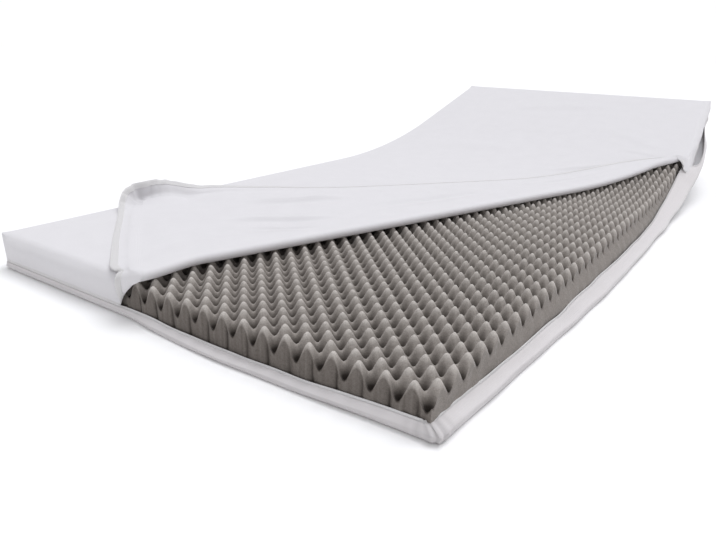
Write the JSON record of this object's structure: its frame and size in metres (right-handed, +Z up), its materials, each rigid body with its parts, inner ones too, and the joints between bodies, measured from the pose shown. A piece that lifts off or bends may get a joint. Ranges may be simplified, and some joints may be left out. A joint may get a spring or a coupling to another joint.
{
  "type": "mattress topper",
  "caption": "Egg-crate foam topper in a zip cover, head end raised, the cover unzipped and its corner folded back over the foam.",
  "frame": {"origin": "centre of the flat face that rests on the bed, on the underside of the cover's bottom panel", "axes": "+X across to the side where the cover is unzipped, +Y along from the foot to the raised head, +Z up"},
  "size_m": [0.938, 1.979, 0.2517],
  "materials": {
    "grey_foam": "open-cell foam",
    "white_cover_cloth": "matt knitted cloth",
    "white_zip_tape": "woven tape with a coil"
  },
  "bodies": {
    "root": {"foam_core": "grey_foam", "base_panel": "white_cover_cloth", "lower_border": "white_cover_cloth", "lower_zip_tape": "white_zip_tape", "upper_zip_tape": "white_zip_tape", "upper_border": "white_cover_cloth", "top_panel": "white_cover_cloth"}
  },
  "joints": []
}
